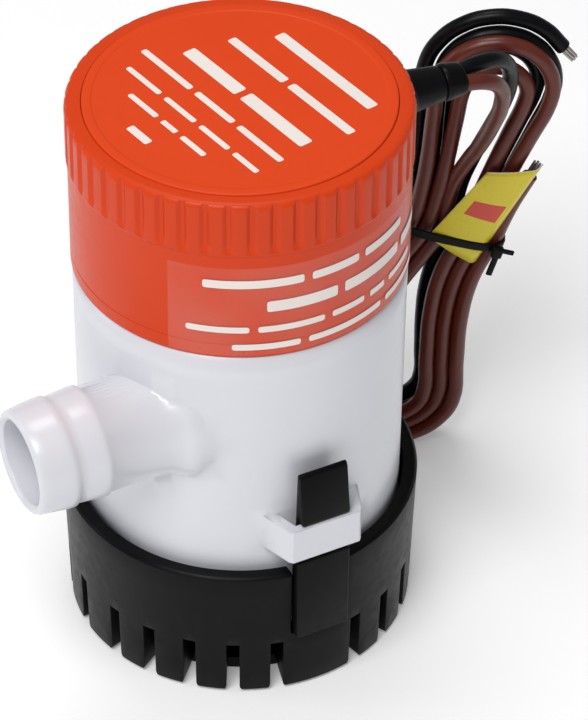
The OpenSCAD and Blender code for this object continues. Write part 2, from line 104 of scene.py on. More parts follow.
# Each finish: colours of the surface and of its faint patches, the range of its roughness,
# grain size and depth in mm, how the grain is stretched, edge rounding in mm, strength of the
# reflection off a dielectric, index of refraction, and whether it is a metal.
FINISHES = {
    # Moulded ABS, orange: an even semi-gloss skin with a trace of orange peel
    "abs_moulded_orange": dict(colour="#dc4212", patch="#d74011", sheen=0.18, rough=(0.3, 0.38),
                               grain=(0.9, 0.004), edge=0.2, ior=1.53),
    # The lid's face comes from a spark-eroded mould, so it is a little duller
    "abs_moulded_orange_satin": dict(colour="#e54713", patch="#e04411", sheen=0.2,
                                     rough=(0.4, 0.48), grain=(0.35, 0.004), edge=0.15, ior=1.53),
    # Moulded ABS, white: slightly milky, semi-gloss, faint sink marks over the ribs inside
    "abs_moulded_white": dict(colour="#e3e4ea", patch="#e0e1e8", rough=(0.24, 0.27),
                              grain=(5.0, 0.004), edge=0.5, ior=1.53),
    # Glass-filled nylon, black: a fine spark grain that greys the light it catches
    "nylon_moulded_black": dict(sheen=0.17, colour="#060708", patch="#0a0b0d", rough=(0.34, 0.44),
                                grain=(0.3, 0.006), edge=0.25, ior=1.4),
    # Acetal, black: smoother and a little waxy
    "acetal_moulded_black": dict(sheen=0.17, colour="#050607", patch="#08090a", rough=(0.36, 0.46),
                                 grain=(0.25, 0.005), edge=0.2, ior=1.38),
    # Nitrile rubber: dull, with a bloom
    "nitrile_rubber": dict(colour="#151515", patch="#222222", rough=(0.6, 0.75),
                           grain=(0.4, 0.01), edge=0.1, ior=1.52),
    # Soft PVC boot, moulded: satin, with small flow marks
    "pvc_boot_moulded": dict(sheen=0.17, colour="#08080a", patch="#0e0f11", rough=(0.36, 0.48),
                             grain=(0.7, 0.01), edge=0.2, ior=1.42),
    # Heat-shrunk polyolefin: glossier where it is stretched over the wires
    "polyolefin_sleeve": dict(sheen=0.17, colour="#070709", patch="#0d0d0f", rough=(0.26, 0.4),
                              grain=(1.3, 0.03), edge=0.1, ior=1.42),
    # PVC insulation, extruded: satin, with faint scuffs from being folded
    "pvc_wire_black": dict(sheen=0.17, colour="#07080a", patch="#0d0e11", rough=(0.26, 0.4),
                           grain=(2.6, 0.012), ior=1.44),
    "pvc_wire_brown": dict(colour="#64281a", patch="#561f14", rough=(0.28, 0.42),
                           grain=(2.6, 0.012), ior=1.46),
    # Tinned copper strands: pale, dull solder
    "tinned_copper": dict(colour="#c9c6bf", patch="#a9a49a", rough=(0.35, 0.5),
                          grain=(0.5, 0.02), metallic=1.0),
    # Soft plastic tie: matte black with a pebbled face
    "tie_plastic_black": dict(sheen=0.17, colour="#08090a", patch="#0e0f11", rough=(0.36, 0.5),
                              grain=(0.3, 0.01), edge=0.15, ior=1.42),
    # Printing ink, white: thin, flat, and slightly warm from the orange under it
    "screen_ink_white": dict(colour="#f6efe9", patch="#efe4dc", rough=(0.42, 0.52),
                             grain=(0.25, 0.004), ior=1.5),
    # Zinc-plated steel: bright with a soft crystalline haze
    "zinc_plated_steel": dict(colour="#c3c6c9", patch="#aeb2b6", rough=(0.26, 0.42),
                              grain=(0.8, 0.004), edge=0.15, metallic=1.0),
    # Stainless steel, centreless ground: fine rings round the shaft
    "ground_stainless_steel": dict(colour="#cfd1d3", patch="#bfc2c5", rough=(0.16, 0.26),
                                   grain=(0.2, 0.002), stretch=(1, 1, 8), metallic=1.0),
    # Electrical steel sheets, stamped and stacked: a line at every half millimetre
    "stacked_steel_sheets": dict(colour="#8e9093", patch="#6d6f72", rough=(0.35, 0.5),
                                 grain=(0.5, 0.03), stretch=(0.02, 0.02, 1), metallic=1.0),
    # Sintered bronze: porous, oily
    "sintered_bronze": dict(colour="#a9834e", patch="#83653a", rough=(0.35, 0.5),
                            grain=(0.25, 0.015), metallic=1.0),
    # Enamelled copper wire, wound: a ridge for each turn
    "enamelled_copper_wire": dict(colour="#b4572b", patch="#8f4220", rough=(0.25, 0.38),
                                  grain=(0.4, 0.12), stretch=(0.05, 0.05, 1), metallic=1.0),
    # Hard copper and brass strip, stamped
    "stamped_copper": dict(colour="#c08552", patch="#a56d40", rough=(0.25, 0.4),
                           grain=(0.6, 0.006), metallic=1.0),
    # Copper graphite: dark, sooty
    "copper_graphite": dict(colour="#3b3836", patch="#2c2a29", rough=(0.5, 0.65),
                            grain=(0.2, 0.015), ior=1.5),
    # Sintered ferrite: dark grey, chalky, with fine pores
    "sintered_ferrite": dict(colour="#46474a", patch="#38393b", rough=(0.6, 0.72),
                             grain=(0.25, 0.015), ior=1.5),
    # Phenolic moulding: brown-black, hard
    "phenolic_moulded": dict(colour="#241f1e", patch="#2f2826", rough=(0.36, 0.5),
                             grain=(0.4, 0.01), edge=0.15, ior=1.55),
    # Epoxy-dipped ceramic: glossy, ochre
    "epoxy_dip_ochre": dict(colour="#c57a2a", patch="#b56c22", rough=(0.16, 0.26),
                            grain=(1.2, 0.03), ior=1.55),
}


def finish(name):
    """The named moulded, metal or rubber finish, made once."""
    if name in bpy.data.materials:
        return bpy.data.materials[name]
    f = FINISHES[name]
    made, tree, place = blank(name)
    size, depth = f["grain"]
    turn = add(tree, "ShaderNodeMapping", {"Vector": place, "Scale": f.get("stretch", (1, 1, 1))})
    patches = noise(tree, place, 9, 3.0)
    grain = noise(tree, turn.outputs[0], size, 2.0, 0.6)
    fine = noise(tree, place, 1.7, 2.0)
    colour = mixed(tree, patches.outputs[0], linear(f["colour"]), linear(f["patch"]))
    rough = add(tree, "ShaderNodeMapRange", {
        "Value": fine.outputs[0], "From Min": 0.3, "From Max": 0.7,
        "To Min": f["rough"][0], "To Max": f["rough"][1]})
    links = {"Height": grain.outputs[0], "Distance": depth * MM, "Strength": 0.6}
    if f.get("edge"):
        soft = add(tree, "ShaderNodeBevel", {"Radius": f["edge"] * MM}, samples=4)
        links["Normal"] = soft.outputs[0]
    bump = add(tree, "ShaderNodeBump", links)
    shader = add(tree, "ShaderNodeBsdfPrincipled", {
        "Base Color": colour, "Roughness": rough.outputs[0], "Normal": bump.outputs[0],
        "Metallic": f.get("metallic", 0.0)})
    if "ior" in f:
        shader.inputs["IOR"].default_value = f["ior"]
    shader.inputs["Specular IOR Level"].default_value = f.get("sheen", 0.5)
    close(tree, shader)
    return made


def film_finish():
    """Polyester film, cast: almost clear, so it shows by its gloss and a little haze."""
    made, tree, place = blank("polyester_film_cast")
    haze = noise(tree, place, 14, 2.0)
    alpha = add(tree, "ShaderNodeMapRange", {
        "Value": haze.outputs[0], "From Min": 0.3, "From Max": 0.7, "To Min": 0.04, "To Max": 0.09})
    waves = noise(tree, place, 6, 1.0)
    bump = add(tree, "ShaderNodeBump", {"Height": waves.outputs[0], "Distance": 0.03 * MM})
    shader = add(tree, "ShaderNodeBsdfPrincipled", {
        "Base Color": linear("#f7efec"), "Roughness": 0.2, "IOR": 1.5,
        "Alpha": alpha.outputs[0], "Normal": bump.outputs[0]})
    close(tree, shader)
    return made


def tag_finish():
    """Coated label paper: a yellow face with faint fibres and one plain red bar."""
    made, tree, place = blank("coated_label_paper")
    uv = add(tree, "ShaderNodeUVMap", uv_map="tag").outputs[0]
    at = add(tree, "ShaderNodeSeparateXYZ", {"Vector": uv})
    fibres = noise(tree, place, 0.5, 3.0)
    yellow = mixed(tree, fibres.outputs[0], linear("#e6d41a"), linear("#d6c316"))
    in_row = add(tree, "ShaderNodeMath", {0: at.outputs["Y"], 1: 0.52, 2: 0.09},
                 operation="COMPARE")
    in_bar = add(tree, "ShaderNodeMath", {0: at.outputs["X"], 1: 0.5, 2: 0.3},
                 operation="COMPARE")
    bar = add(tree, "ShaderNodeMath", {0: in_row.outputs[0], 1: in_bar.outputs[0]},
              operation="MULTIPLY")
    print_on = mixed(tree, bar.outputs[0], yellow, linear("#d03f2a"))
    bump = add(tree, "ShaderNodeBump", {"Height": fibres.outputs[0], "Distance": 0.01 * MM})
    shader = add(tree, "ShaderNodeBsdfPrincipled", {
        "Base Color": print_on, "Roughness": 0.42, "IOR": 1.5, "Normal": bump.outputs[0],
        "Coat Weight": 0.25})
    close(tree, shader)
    return made


def paper_back_finish():
    """The label stock's uncoated back: white, soft, with fibres."""
    made, tree, place = blank("uncoated_paper_back")
    fibres = noise(tree, place, 0.4, 3.0)
    tone = add(tree, "ShaderNodeMapRange",
               {"Value": fibres.outputs[0], "To Min": 0.78, "To Max": 0.9})
    colour = add(tree, "ShaderNodeCombineColor", {part: tone.outputs[0] for part in range(3)})
    bump = add(tree, "ShaderNodeBump", {"Height": fibres.outputs[0], "Distance": 0.02 * MM})
    shader = add(tree, "ShaderNodeBsdfPrincipled", {
        "Base Color": colour.outputs[0], "Roughness": 0.7, "Normal": bump.outputs[0]})
    close(tree, shader)
    return made


def floor_finish():
    """Matt studio board: near white, with a tooth that only softens the shadow."""
    made, tree, place = blank("matt_studio_board")
    tooth = noise(tree, place, 2, 2.0)
    bump = add(tree, "ShaderNodeBump", {"Height": tooth.outputs[0], "Distance": 0.01 * MM})
    shader = add(tree, "ShaderNodeBsdfPrincipled", {
        "Base Color": linear("#f7f7f8"), "Roughness": 0.85, "Normal": bump.outputs[0],
        "Emission Color": linear("#ffffff"), "Emission Strength": 0.2})
    close(tree, shader)
    return made


# ------------------------------------------------------------- mesh helpers

def turned(profile, steps=192, closed=True):
    """A body of revolution about Z, from (radius, height) points in millimetres."""
    bm = bmesh.new()
    verts = [bm.verts.new((r * MM, 0, z * MM)) for r, z in profile]
    edges = [bm.edges.new((verts[i - 1], verts[i])) for i in range(0 if closed else 1, len(verts))]
    bmesh.ops.spin(bm, geom=verts + edges, cent=(0, 0, 0), axis=(0, 0, 1), angle=TURN,
                   steps=steps, use_merge=True)
    bmesh.ops.remove_doubles(bm, verts=bm.verts, dist=0.0002 * MM)
    bmesh.ops.recalc_face_normals(bm, faces=bm.faces)
    return bm


def rounded(corners, steps=4):
    """Rounds a profile's corners. Each corner is (radius, height, rounding) in millimetres."""
    made = []
    count = len(corners)
    for i, (x, y, size) in enumerate(corners):
        here = Vector((x, y))
        before = Vector(corners[i - 1][:2]) - here
        after = Vector(corners[(i + 1) % count][:2]) - here
        if size == 0:
            made.append((x, y))
            continue
        reach = min(size, before.length * 0.49, after.length * 0.49)
        a, b = here + before.normalized() * reach, here + after.normalized() * reach
        for k in range(steps + 1):
            t = k / steps
            p = a.lerp(here, t).lerp(here.lerp(b, t), t)
            made.append((p.x, p.y))
    return made


def dressed(node, width, bend=38):
    """A merged copy of a CAD node with its sharp edges rounded to width, in millimetres."""
    bm = bmesh.new()
    bm.from_mesh(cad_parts[node].data)
    bmesh.ops.remove_doubles(bm, verts=bm.verts, dist=0.002 * MM)
    bmesh.ops.dissolve_limit(bm, angle_limit=math.radians(0.6), verts=bm.verts, edges=bm.edges)
    if width:
        sharp = [e for e in bm.edges if len(e.link_faces) == 2
                 and e.calc_face_angle(0) > math.radians(bend)]
        bmesh.ops.bevel(bm, geom=sharp, offset=width * MM, offset_type="OFFSET", affect="EDGES",
                        segments=2, profile=0.5, material=-1, clamp_overlap=True)
    bmesh.ops.triangulate(bm, faces=[f for f in bm.faces if len(f.verts) > 4])
    return bm


def drilled(bm, tool):
    """The first mesh with the second cut out of it."""
    pair = []
    for part in (bm, tool):
        mesh = bpy.data.meshes.new("drilled")
        part.to_mesh(mesh)
        part.free()
        pair.append(bpy.data.objects.new("drilled", mesh))
        bpy.context.scene.collection.objects.link(pair[-1])
    cut = pair[0].modifiers.new("cut", "BOOLEAN")
    cut.operation, cut.object, cut.solver = "DIFFERENCE", pair[1], "MANIFOLD"
    bpy.context.view_layer.update()
    made = bmesh.new()
    made.from_object(pair[0], bpy.context.evaluated_depsgraph_get())
    for part in pair:
        bpy.data.objects.remove(part)
    return made


def settle(name, bm, material, body, nodes=(), smooth=35):
    """Makes the object of a finished mesh, gives it its finish and body, and hides the CAD nodes it
    replaces.
    """
    mesh = bpy.data.meshes.new(name)
    bm.to_mesh(mesh)
    bm.free()
    mesh.shade_smooth()
    mesh.set_sharp_from_angle(angle=math.radians(smooth))
    made = bpy.data.objects.new(name, mesh)
    bpy.context.scene.collection.objects.link(made)
    for m in material if isinstance(material, (list, tuple)) else [material]:
        mesh.materials.append(m)
    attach(made, body)
    if nodes:
        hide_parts(*nodes)
    return made


def repaint(node, material):
    """Gives a CAD node its finish and leaves its mesh alone."""
    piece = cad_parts[node]
    piece.data.materials.clear()
    piece.data.materials.append(material)


def block(bm, low, high, round_by=0.0):
    """Adds a box between two corners, in millimetres, with its edges rounded."""
    made = bmesh.ops.create_cube(bm, size=1.0)["verts"]
    size = Vector([h - l for l, h in zip(low, high)]) * MM
    centre = Vector([h + l for l, h in zip(low, high)]) * MM / 2
    bmesh.ops.scale(bm, vec=size, verts=made)
    bmesh.ops.translate(bm, vec=centre, verts=made)
    if round_by:
        edges = list({e for v in made for e in v.link_edges})
        bmesh.ops.bevel(bm, geom=edges, offset=round_by * MM, offset_type="OFFSET", affect="EDGES",
                        segments=3, profile=0.5, material=-1, clamp_overlap=True)


# ------------------------------------------------------------- properties

class PumpSizes(bpy.types.PropertyGroup):
    """Sizes of the detail that the finisher adds."""
    rib_count: bpy.props.IntProperty(
        name="Ribs", description="Number of ribs round the motor cover", default=48, min=12, max=96)
    groove_depth: bpy.props.FloatProperty(
        name="Groove depth", description="Depth of the grooves between the ribs",
        default=0.55 * MM, subtype="DISTANCE", unit="LENGTH")
    wire_diameter: bpy.props.FloatProperty(
        name="Wire diameter", description="Diameter of a lead over its insulation",
        default=3 * MM, subtype="DISTANCE", unit="LENGTH")
    print_height: bpy.props.FloatProperty(
        name="Print height", description="How far the white print stands proud",
        default=0.02 * MM, subtype="DISTANCE", unit="LENGTH")
    camera_distance: bpy.props.FloatProperty(
        name="Camera distance", description="Distance from the camera to the pump's middle",
        default=0.7, subtype="DISTANCE", unit="LENGTH")
    camera_elevation: bpy.props.FloatProperty(
        name="Camera elevation", description="Height of the camera above the horizon",
        default=math.radians(40.57), subtype="ANGLE", unit="ROTATION")


class PumpColours(bpy.types.PropertyGroup):
    """Colours of the studio."""
    key_colour: bpy.props.FloatVectorProperty(
        name="Key light", description="Colour of the large soft light", subtype="COLOR",
        size=3, min=0, max=1, default=(1.0, 0.99, 0.975))
    fill_colour: bpy.props.FloatVectorProperty(
        name="Fill light", description="Colour of the light from the left", subtype="COLOR",
        size=3, min=0, max=1, default=(0.93, 0.965, 1.0))
    room_colour: bpy.props.FloatVectorProperty(
        name="Room", description="Colour of the studio's walls", subtype="COLOR",
        size=3, min=0, max=1, default=(0.96, 0.98, 1.0))


def sizes():
    return bpy.context.scene.pump_sizes


def colours():
    return bpy.context.scene.pump_colours


# ------------------------------------------------------------------ stage

LENS_PER_METRE = 193.35 / 0.7
LENS_SHIFT = (0.075, 0.0151)
AIM_HEIGHT = 0.05
FLOOR_HALF = 3
FLOOR_LEVEL = -0.1 * MM
ROOM_STRENGTH = 0.24
# Each light: name, place and size in metres, power in watts, and the colour's property
LIGHTS = (("key", (-0.28, -0.62, 1.15), 0.7, 10.5, "key_colour"),
          ("fill", (-0.9, 0.1, 0.5), 0.3, 0.8, "fill_colour"),
          ("top", (-0.1, 0.35, 1.2), 0.5, 3.0, "key_colour"))


class PUMP_OT_stage(bpy.types.Operator):
    """Sets up the floor, the lights and the camera"""
    bl_idname = "pump.stage"
    bl_label = "Stage"

    def execute(self, context):
        scene = context.scene
        up, away = sizes().camera_elevation, sizes().camera_distance
        lens = bpy.data.cameras.new("camera")
        lens.sensor_width = 36
        lens.lens = LENS_PER_METRE * away
        lens.shift_x, lens.shift_y = LENS_SHIFT
        lens.clip_start, lens.clip_end = 0.02, 20
        camera = bpy.data.objects.new("camera", lens)
        camera.location = (0, -away * math.cos(up), AIM_HEIGHT + away * math.sin(up))
        camera.rotation_euler = (math.pi / 2 - up, 0, 0)
        scene.collection.objects.link(camera)
        scene.camera = camera

        bm = bmesh.new()
        bmesh.ops.create_grid(bm, x_segments=1, y_segments=1, size=FLOOR_HALF)
        bmesh.ops.translate(bm, vec=(0, 0, FLOOR_LEVEL), verts=bm.verts)
        mesh = bpy.data.meshes.new("floor")
        bm.to_mesh(mesh)
        bm.free()
        mesh.materials.append(floor_finish())
        floor = bpy.data.objects.new("floor", mesh)
        scene.collection.objects.link(floor)

        for name, place, size, power, colour in LIGHTS:
            glow = bpy.data.lights.new(name, "AREA")
            glow.shape, glow.size = "DISK", size
            glow.energy, glow.color = power, getattr(colours(), colour)
            lamp = bpy.data.objects.new(name, glow)
            lamp.location = place
            lamp.rotation_mode = "QUATERNION"
            towards = Vector((0, 0, AIM_HEIGHT)) - Vector(place)
            lamp.rotation_quaternion = towards.to_track_quat("-Z", "Y")
            scene.collection.objects.link(lamp)

        world = bpy.data.worlds.new("room")
        world.use_nodes = True
        backdrop = world.node_tree.nodes["Background"]
        backdrop.inputs["Color"].default_value = (*colours().room_colour, 1)
        backdrop.inputs["Strength"].default_value = ROOM_STRENGTH
        scene.world = world
        scene.view_settings.view_transform = "Standard"
        scene.view_settings.look = "None"
        return {"FINISHED"}


# ------------------------------------------------------------------ leads

BROWN_ROUTE = [(39.45, 15.7, 103), (43.2, 17.2, 102.2), (46, 20, 98.8), (46.6, 23.2, 92.5),
               (45.6, 26.9, 85.5), (44, 31, 78), (41.8, 34.8, 71), (39.6, 37.1, 64),
               (38.7, 37.4, 58), (38.3, 37.4, 53)]
BLACK_ROUTE = [(38.2, 18.6, 103), (42, 21.5, 103), (45.8, 25, 101.2), (48, 28.5, 97.2),
               (48.6, 31.5, 91), (47.5, 34, 84), (45.5, 36.2, 77), (43.3, 38.2, 70),
               (41.2, 39.8, 62), (39.8, 40.5, 52.6)]
# The hank, in millimetres: its middle and directions, half the distance between the folds'
# centres, the tie's place along it, and how much higher the upper folds lie
HANK_MIDDLE = Vector((38, 0, 48.9))
HANK_UP = Vector((0.2676, 0, 0.9635))
HANK_SIDE = Vector((0.9635, 0, -0.2676))
HANK_HALF = 35.5
HANK_TIE = 4.0
HANK_RISE = 2.0
# Half width of the first loop, how much each turn adds, and how far the tie draws it in
LOOP_FIRST, LOOP_STEP, LOOP_DRAWN_IN = 6.2, 3.05, 5.0
# How sharply the loops narrow towards the tie, above and below it
NARROWS_ABOVE, NARROWS_BELOW = 1.3, 2
# How far the loops lean to the left, at the upper folds and halfway down
LEAN_ABOVE, LEAN_BELOW = -1.2, -2.4
FOLD_LENGTH = math.pi * 10
# A curve through the points is a little longer than the straight lines between them
CURVE_OVER_CHORDS = 1.006
# The tinned strands: count, circle they stand on, radii at root and tip, length and middle
STRAND_COUNT, STRAND_RING = 7, 0.62
STRAND_ROOT, STRAND_TIP, STRAND_LENGTH, STRAND_MIDDLE = 0.33, 0.24, 3.8, 1.3


def hank_point(sideways, along, depth):
    """A point of the hank, in millimetres, from its own directions."""
    p = HANK_MIDDLE + HANK_SIDE * sideways + HANK_UP * along
    return Vector((p.x, depth, p.z))


def hank_turns(first_side, depth, spread, turns, top_first, top_step):
    """Points of a folded lead, from the tie down and round, each turn outside the last."""
    down, up = HANK_TIE + HANK_HALF, HANK_HALF + HANK_RISE - HANK_TIE
    stages = [("down", down, 5), ("low", FOLD_LENGTH, 8), ("rise", down, 4), ("lift", up, 4),
              ("high", FOLD_LENGTH, 8), ("fall", up, 4)]
    whole = sum(s[1] for s in stages)
    points, done, passes = [], 0.0, 0
    while True:
        for kind, length, count in stages:
            for k in range(count):
                f = (k + (0.5 if passes == 0 and kind == "down" and k == 0 else 0)) / count
                t = (done + f * length) / whole
                if t > turns:
                    return points
                reach, top = LOOP_FIRST + LOOP_STEP * t, top_first + top_step * (t - 0.75)
                bend, squeeze = math.pi * f, 0.0
                if kind == "low":
                    across = -reach * math.cos(bend)
                    along = -HANK_HALF - reach * math.sin(bend)
                elif kind == "high":
                    across = top * math.cos(bend)
                    along = top * math.sin(bend) + (HANK_HALF + HANK_RISE)
                else:
                    along = {"down": HANK_TIE - f * down, "rise": -HANK_HALF + f * down,
                             "lift": HANK_TIE + f * up, "fall": HANK_TIE + up - f * up}[kind]
                    above = along > HANK_TIE
                    far, sharpness = (up, NARROWS_ABOVE) if above else (down, NARROWS_BELOW)
                    near = math.cos(math.pi / 2 * abs(along - HANK_TIE) / far)
                    squeeze = max(0.0, near) ** sharpness
                    if above:
                        reach = reach * squeeze + top * (1 - squeeze)
                    across = (-1 if kind in ("down", "fall") else 1) * (
                        reach - LOOP_DRAWN_IN * squeeze)
                if along > HANK_TIE:
                    lean = LEAN_ABOVE * (1 - squeeze)
                else:
                    below = max(0.0, min(1.0, (HANK_TIE - along) / down))
                    lean = LEAN_BELOW * math.sin(math.pi * below)
                fan = spread * (1 - squeeze) * (0.5 + 0.5 * math.sin(2.3 * t + 0.9))
                points.append(hank_point(first_side * across + lean, along, depth + fan))
            done += length
        passes += 1


def wire(name, route, turns, material):
    """A lead on one smooth curve, from the boot's sleeve to its bare end."""
    points = [Vector(p) for p in route] + turns
    curve = bpy.data.curves.new(name, "CURVE")
    curve.dimensions = "3D"
    curve.bevel_depth = sizes().wire_diameter / 2
    curve.bevel_resolution = 4
    curve.resolution_u = 5
    curve.use_fill_caps = True
    spline = curve.splines.new("BEZIER")
    spline.bezier_points.add(len(points) - 1)
    for knot, p in zip(spline.bezier_points, points):
        knot.co = p * MM
        knot.handle_left_type = knot.handle_right_type = "AUTO"
    curve.materials.append(material)
    made = bpy.data.objects.new(name, curve)
    bpy.context.scene.collection.objects.link(made)
    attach(made, "root")
    length = sum((b - a).length for a, b in zip(points, points[1:])) * MM
    return made, points, length * CURVE_OVER_CHORDS


def strands(name, points):
    """The tinned strands that stand out of a lead's bare end."""
    end, before = points[-1], points[-2]
    way = (end - before).normalized()
    bm = bmesh.new()
    for k in range(STRAND_COUNT):
        ring = 0 if k == 0 else STRAND_RING
        made = bmesh.ops.create_cone(bm, cap_ends=True, segments=10, radius1=STRAND_ROOT * MM,
                                     radius2=STRAND_TIP * MM, depth=STRAND_LENGTH * MM)["verts"]
        place = (ring * math.cos(k) * MM, ring * math.sin(k) * MM, STRAND_MIDDLE * MM)
        bmesh.ops.translate(bm, vec=place, verts=made)
    turn = way.to_track_quat("Z", "Y").to_matrix().to_4x4()
    bmesh.ops.transform(bm, matrix=Matrix.Translation(end * MM) @ turn, verts=bm.verts)
    return settle(name, bm, finish("tinned_copper"), "root")


class PUMP_OT_leads(bpy.types.Operator):
    """Lays the two leads from the boot into the tied hank"""
    bl_idname = "pump.leads"
    bl_label = "Leads"

    def execute(self, context):
        for colour, route, turns in (
                ("brown", BROWN_ROUTE, hank_turns(1, 37.4, -1.0, 2.62, 5.7, 4.7)),
                ("black", BLACK_ROUTE, hank_turns(-1, 40.5, 1.0, 2.81, 7.4, 3.1))):
            made, points, length = wire("wire_" + colour, route, turns,
                                        finish("pvc_wire_" + colour))
            tip = strands("strands_" + colour, points)
            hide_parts("lead_" + colour, "hank_" + colour)
        return {"FINISHED"}


class PUMP_OT_tie(bpy.types.Operator):
    """Makes the soft tie that is twisted round the hank"""
    bl_idname = "pump.tie"
    bl_label = "Tie"

    def execute(self, context):
        frame_of_hank = Matrix.Translation(HANK_MIDDLE * MM) @ Matrix((
            (HANK_SIDE.x, 0, HANK_UP.x, 0), (0, 1, 0, 0), (HANK_SIDE.z, 0, HANK_UP.z, 0),
            (0, 0, 0, 1)))
        half_width, half_depth, depth_middle = 10.6, 4.0, 38.7
        thickness, breadth, squareness, corners = 0.6, 1.9, 0.62, 40
        bm = bmesh.new()
        loops = []
        for out in (0.0, thickness):
            ring = []
            for k in range(corners):
                c, s = math.cos(TURN * k / corners), math.sin(TURN * k / corners)
                x = math.copysign(abs(c) ** squareness, c) * (half_width + out)
                y = math.copysign(abs(s) ** squareness, s) * (half_depth + out)
                ring.append(bm.verts.new((x * MM, (depth_middle + y) * MM, (HANK_TIE - 1.0) * MM)))
            loops.append([bm.edges.new((ring[i - 1], ring[i])) for i in range(corners)])
        flat = bmesh.ops.bridge_loops(bm, edges=loops[0] + loops[1])["faces"]
        grown = bmesh.ops.extrude_face_region(bm, geom=flat)["geom"]
        bmesh.ops.translate(bm, vec=(0, 0, breadth * MM),
                            verts=[g for g in grown if isinstance(g, bmesh.types.BMVert)])
        bmesh.ops.recalc_face_normals(bm, faces=bm.faces)
        rims = [e for e in bm.edges if len(e.link_faces) == 2 and e.calc_face_angle(0) > 1.0]
        bmesh.ops.bevel(bm, geom=rims, offset=0.3 * MM, offset_type="OFFSET", affect="EDGES",
                        segments=2, profile=0.5, material=-1, clamp_overlap=True)
        # The knot and the tie's two tails
        block(bm, (9.0, 33.6, -1.6), (10.2, 34.2, 4.6), 0.25)
        block(bm, (8.4, 33.3, 2.8), (10.6, 34.9, 5.2), 0.45)
        block(bm, (10.0, 33.5, 4.2), (12.6, 34.1, 5.2), 0.25)
        bmesh.ops.transform(bm, matrix=frame_of_hank, verts=bm.verts)
        bmesh.ops.recalc_face_normals(bm, faces=bm.faces)
        settle("tie_band", bm, finish("tie_plastic_black"), "root", ("tie",))
        return {"FINISHED"}


class PUMP_OT_tag(bpy.types.Operator):
    """Lays the yellow paper tag over the hank, held by the tie"""
    bl_idname = "pump.tag"
    bl_label = "Paper tag"

    def execute(self, context):
        bm = bmesh.new()
        layer = bm.loops.layers.uv.new("tag")
        across, rise = 28, 14
        grid = []
        for j in range(rise + 1):
            v = j / rise
            row = []
            for i in range(across + 1):
                u = i / across
                along = (3.3 - 4.3 * u) * (1 - v) + (21.1 + 3.4 * u) * v
                side = (-3.8 + 10.9 * u) * (1 - v) + (2.1 + 9.8 * u) * v
                curl = 35.1 - 0.5 * v - 0.5 * math.sin(math.pi * u) + 30 * max(0, u - 0.86) ** 1.5
                row.append(bm.verts.new(hank_point(side, along, curl) * MM))
            grid.append(row)
        for j in range(rise):
            for i in range(across):
                corners = ((i, j), (i + 1, j), (i + 1, j + 1), (i, j + 1))
                face = bm.faces.new([grid[b][a] for a, b in corners])
                for loop, (a, b) in zip(face.loops, corners):
                    loop[layer].uv = (a / across, b / rise)
        mesh = bpy.data.meshes.new("paper_tag")
        bm.to_mesh(mesh)
        bm.free()
        mesh.shade_smooth()
        tag = bpy.data.objects.new("paper_tag", mesh)
        context.scene.collection.objects.link(tag)
        mesh.materials.append(tag_finish())
        mesh.materials.append(paper_back_finish())
        wall = tag.modifiers.new("paper", "SOLIDIFY")
        wall.thickness, wall.offset = 0.22 * MM, 0
        wall.material_offset = 1
        wall.material_offset_rim = 1
        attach(tag, "root")
        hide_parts("warning_tag")
        return {"FINISHED"}


# ------------------------------------------------------------------- pump

# The cap over its ribs, in millimetres, and where the ribs begin
CAP_RADIUS, CAP_LOW, CAP_SEAT = 30.2, 100.9, 27.3
COVER_PROFILE = [
    (27.75, 78.5, 0.2), (29.9, 78.5, 0.35), (29.9, 81.2, 0), (29.78, 81.35, 0.05), (29.9, 81.5, 0),
    (29.9, 90, 0), (29.9, 100.4, 0.1), (30.2, 100.8, 0.3), (30.2, 101.6, 0), (30.2, 103, 0),
    (30.2, 105, 0), (30.2, 107, 0), (30.2, 108.5, 0), (30.2, 111.35, 2.75), (27.27, 111.35, 0.15),
    (27.27, 109.2, 0), (25.4, 109.2, 0), (25.4, 106, 0), (27.2, 104, 0), (27.2, 92, 0),
    (25, 88, 0), (25, 86.1, 0), (27.75, 86.1, 0)]


class PUMP_OT_cover(bpy.types.Operator):
    """Turns the orange motor cover and cuts the grip grooves round its cap"""
    bl_idname = "pump.cover"
    bl_label = "Motor cover"

    def execute(self, context):
        ribs, depth = sizes().rib_count, sizes().groove_depth
        bm = turned(rounded(COVER_PROFILE, 7), ribs * 12)
        for v in bm.verts:
            reach, height = math.hypot(v.co.x, v.co.y), v.co.z
            if height < CAP_LOW * MM or reach < CAP_SEAT * MM:
                continue
            where = (math.atan2(v.co.y, v.co.x) / TURN * ribs) % 1
            off = abs(where - 0.5) * TURN * CAP_RADIUS / ribs
            cut = 1 - min(1, max(0, (off - 0.28) / 0.75))
            start = min(1, max(0, (height / MM - CAP_LOW) / 0.9))
            floor = CAP_RADIUS * MM - depth * cut * cut * (3 - 2 * cut) * start
            if reach > floor:
                v.co.x *= floor / reach
                v.co.y *= floor / reach
        hole = bmesh.new()
        bmesh.ops.create_cone(hole, cap_ends=True, segments=48, radius1=3.3 * MM, radius2=3.3 * MM,
                              depth=20 * MM)
        bmesh.ops.transform(hole, matrix=along_boot(32), verts=hole.verts)
        settle("cover_shell", drilled(bm, hole), finish("abs_moulded_orange"), "root",
               ("motor_cover",), 30)
        return {"FINISHED"}


def along_boot(distance):
    """The frame of the cable boot: Z runs away from the pump, from that distance in millimetres."""
    turn = Matrix.Rotation(math.radians(24), 4, "Z") @ Matrix.Rotation(math.radians(90), 4, "Y")
    return Matrix.Translation((0, 0, 103 * MM)) @ turn @ Matrix.Translation((0, 0, distance * MM))


